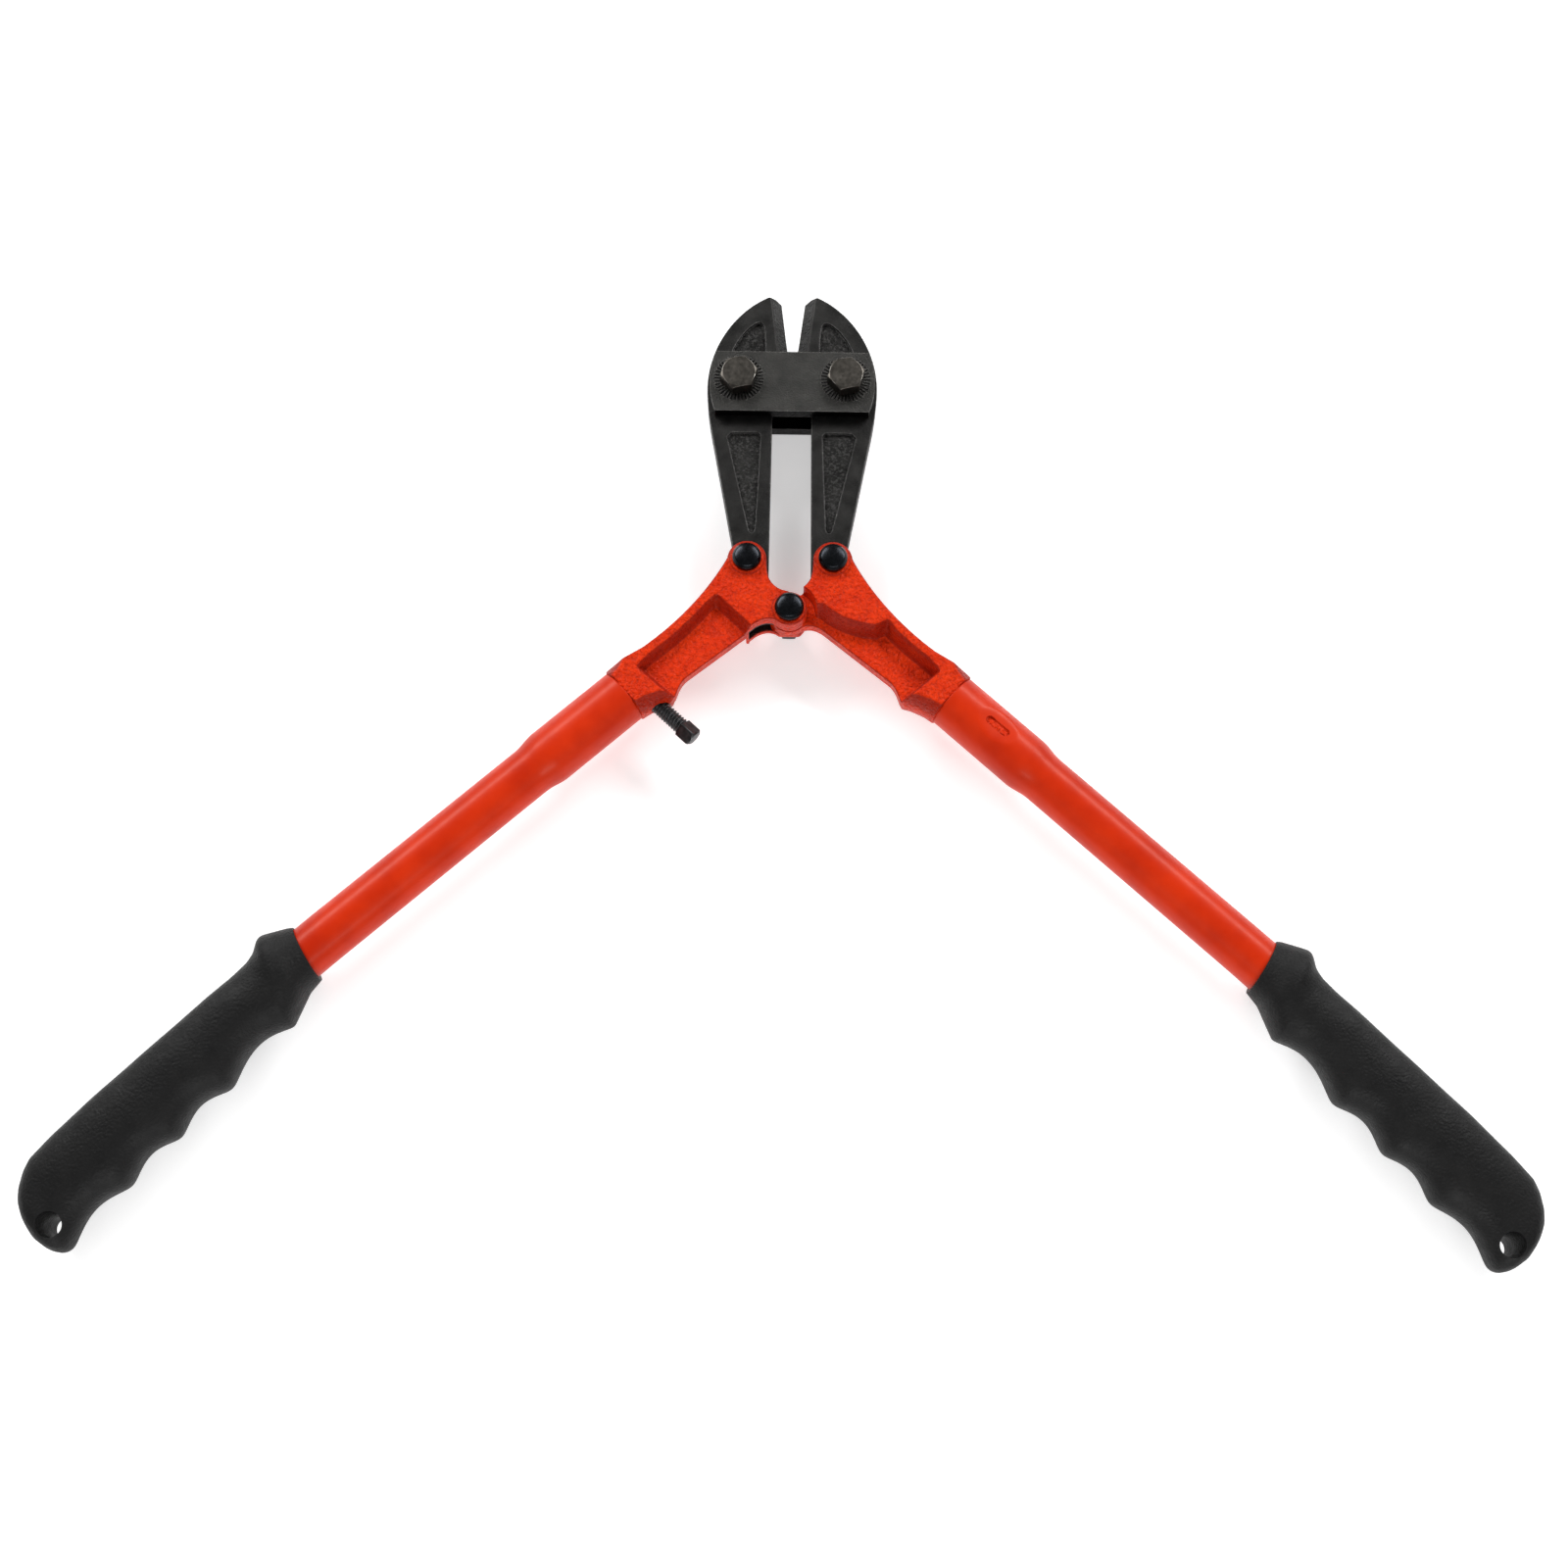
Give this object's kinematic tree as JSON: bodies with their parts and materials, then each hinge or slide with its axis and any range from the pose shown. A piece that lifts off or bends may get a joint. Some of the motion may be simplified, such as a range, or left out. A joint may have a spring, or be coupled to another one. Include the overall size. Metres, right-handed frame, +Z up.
{
  "type": "bolt cutter",
  "caption": "Compound-lever bolt cutter with forged jaws between link plates, cast red yokes with a stop screw, and red tube handles with black finger-grooved grips.",
  "frame": {"origin": "middle of the outline seen from above, at the height of the surface the tool lies on", "axes": "+X across the tool to its right handle, +Y from the handles towards the jaws, +Z up through the front face"},
  "size_m": [0.5014, 0.3552, 0.0315],
  "materials": {
    "jaw_steel": "black-oxide forged steel, machined beside the cutting edge",
    "plate_steel": "black-oxide steel plate",
    "bolt_steel": "dark plated steel with worn edges",
    "pin_steel": "glossy blued steel",
    "washer_steel": "plain spring steel",
    "screw_steel": "black-oxide steel",
    "yoke_paint": "red-orange paint over rough cast steel",
    "tube_paint": "glossy red-orange paint over steel tube",
    "grip_rubber": "matt black moulded rubber"
  },
  "bodies": {
    "head": {"front_link_plate": "plate_steel", "rear_link_plate": "plate_steel", "left_fulcrum_bolt": "bolt_steel", "right_fulcrum_bolt": "bolt_steel", "left_fulcrum_nut": "bolt_steel", "right_fulcrum_nut": "bolt_steel"},
    "left_jaw": {"left_jaw": "jaw_steel"},
    "right_jaw": {"right_jaw": "jaw_steel"},
    "left_handle": {"left_yoke": "yoke_paint", "left_toggle_pin": "pin_steel", "left_toggle_washer": "washer_steel", "left_toggle_nut": "pin_steel", "centre_pivot_pin": "pin_steel", "centre_pivot_washer": "washer_steel", "centre_pivot_nut": "pin_steel", "left_tube": "tube_paint", "left_grip": "grip_rubber"},
    "right_handle": {"right_yoke": "yoke_paint", "right_toggle_pin": "pin_steel", "right_toggle_washer": "washer_steel", "right_toggle_nut": "pin_steel", "right_tube": "tube_paint", "right_grip": "grip_rubber"},
    "stop_screw": {"stop_screw": "screw_steel"}
  },
  "joints": [
    {"name": "left_toggle", "type": "hinge", "parent": "left_jaw", "child": "left_handle", "pos_m": [-0.0155, 0.0681, 0.01685], "axis": [0, 0, 1], "range_deg": [0, 49.6]},
    {"name": "left_fulcrum", "type": "hinge", "parent": "head", "child": "left_jaw", "pos_m": [-0.0198, 0.1403, 0.01685], "axis": [0, 0, 1], "range_deg": [-7, 0]},
    {"name": "right_fulcrum", "type": "hinge", "parent": "head", "child": "right_jaw", "pos_m": [0.0198, 0.1403, 0.01685], "axis": [0, 0, 1], "range_deg": [0, 7]},
    {"name": "right_toggle", "type": "hinge", "parent": "right_jaw", "child": "right_handle", "pos_m": [0.0155, 0.0681, 0.01685], "axis": [0, 0, 1], "range_deg": [-49.6, 0]},
    {"name": "stop_screw_travel", "type": "slide", "parent": "left_handle", "child": "stop_screw", "axis": [0.7361, -0.6769, 0], "range_m": [-0.004, 0]}
  ],
  "couplings": [
    {"joint": "left_fulcrum", "follows": "left_toggle", "ratio": -0.14113},
    {"joint": "right_fulcrum", "follows": "left_toggle", "ratio": 0.14113},
    {"joint": "right_toggle", "follows": "left_toggle", "ratio": -1}
  ]
}
